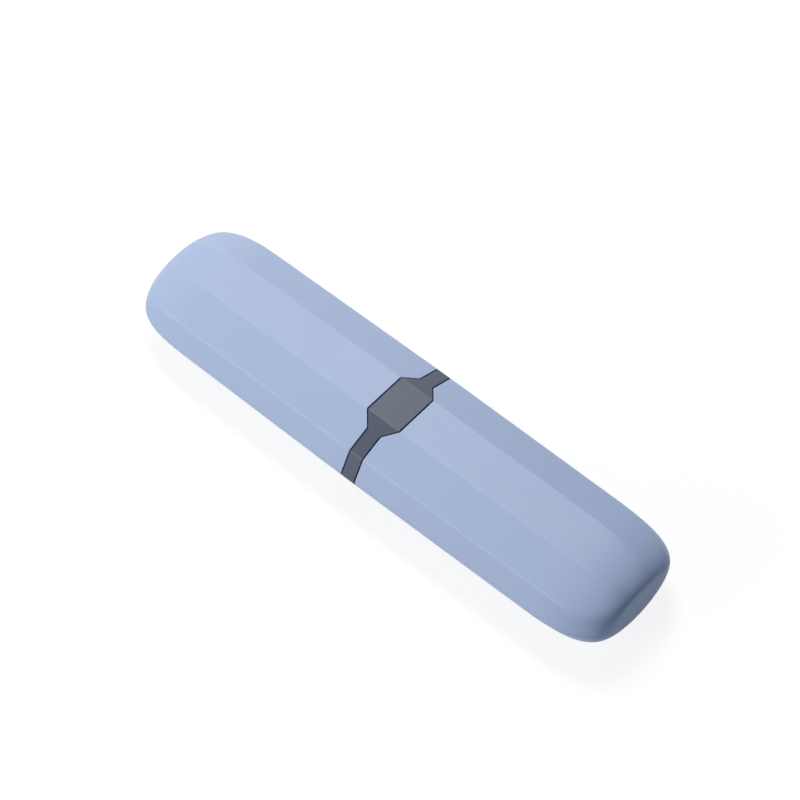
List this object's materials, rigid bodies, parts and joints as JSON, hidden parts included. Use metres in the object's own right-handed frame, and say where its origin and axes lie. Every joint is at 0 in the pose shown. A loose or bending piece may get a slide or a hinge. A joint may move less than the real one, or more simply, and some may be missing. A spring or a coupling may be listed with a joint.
{
  "type": "travel toothbrush case",
  "caption": "Flat ten-sided travel case with rounded ends, in two half shells joined by a hexagon-marked collar; one half pulls off as a lid or rinse cup.",
  "frame": {"origin": "under the middle of the case, on the flat back facet that it lies on", "axes": "+X along the case from the cap's end to the base's end, +Y across it, +Z out of the front facet"},
  "size_m": [0.21, 0.0536, 0.0301],
  "materials": {
    "shell": "fine satin moulding, powder blue",
    "band": "fine satin moulding, slate grey",
    "seal": "matte silicone, pale grey"
  },
  "bodies": {
    "base": {"base_shell": "shell", "collar": "band", "seal_ring": "seal"},
    "cap": {"cap_shell": "shell"}
  },
  "joints": [
    {"name": "cap_slide", "type": "slide", "parent": "base", "child": "cap", "axis": [-1, 0, 0], "range_m": [0, 0.12]}
  ]
}
